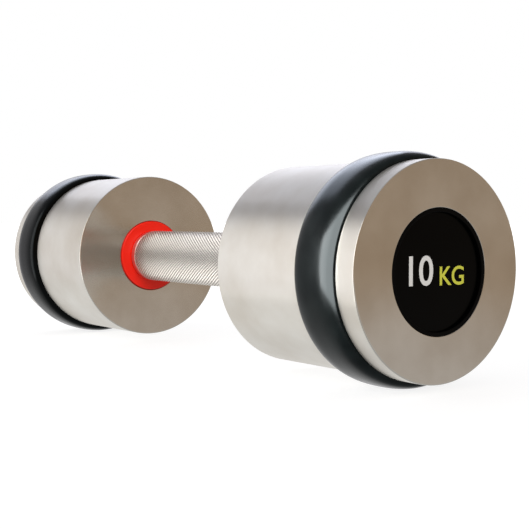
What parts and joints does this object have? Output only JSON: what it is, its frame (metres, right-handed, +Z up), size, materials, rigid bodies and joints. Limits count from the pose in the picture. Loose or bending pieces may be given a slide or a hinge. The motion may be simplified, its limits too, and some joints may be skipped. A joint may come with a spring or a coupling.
{
  "type": "fixed-weight dumbbell",
  "caption": "Round steel dumbbell with a knurled grip bar, spinning cylindrical heads on flanged bushes, rubber bumper rings and recessed plastic end caps.",
  "frame": {"origin": "middle of the grip bar, on its axis, which is also the centre of the whole object's box", "axes": "+X along the bar towards the right-hand head, +Z up, +Y to the back; the heads spin about X"},
  "size_m": [0.3328, 0.1008, 0.1008],
  "materials": {
    "satin_steel": "satin",
    "knurled_steel": "satin",
    "black_rubber": "satin",
    "red_acetal": "satin",
    "sintered_bronze": "matte",
    "zinc_plated_steel": "satin",
    "black_oxide_steel": "satin",
    "black_abs": "satin",
    "resin_label": "gloss"
  },
  "bodies": {
    "grip": {"grip_bar": "knurled_steel", "left_retaining_washer": "zinc_plated_steel", "left_lock_washer": "zinc_plated_steel", "left_head_bolt": "black_oxide_steel", "right_retaining_washer": "zinc_plated_steel", "right_lock_washer": "zinc_plated_steel", "right_head_bolt": "black_oxide_steel"},
    "left_weight": {"left_head": "satin_steel", "left_bumper_ring": "black_rubber", "left_flanged_bush": "red_acetal", "left_outer_bush": "sintered_bronze", "left_thrust_washer": "sintered_bronze", "left_end_cap": "black_abs", "left_cap_label": "resin_label"},
    "right_weight": {"right_head": "satin_steel", "right_bumper_ring": "black_rubber", "right_flanged_bush": "red_acetal", "right_outer_bush": "sintered_bronze", "right_thrust_washer": "sintered_bronze", "right_end_cap": "black_abs", "right_cap_label": "resin_label"}
  },
  "joints": [
    {"name": "left_head_spin", "type": "hinge", "parent": "grip", "child": "left_weight", "pos_m": [-0.1188, 0, 0], "axis": [1, 0, 0], "continuous": true},
    {"name": "right_head_spin", "type": "hinge", "parent": "grip", "child": "right_weight", "pos_m": [0.1188, 0, 0], "axis": [1, 0, 0], "continuous": true}
  ]
}
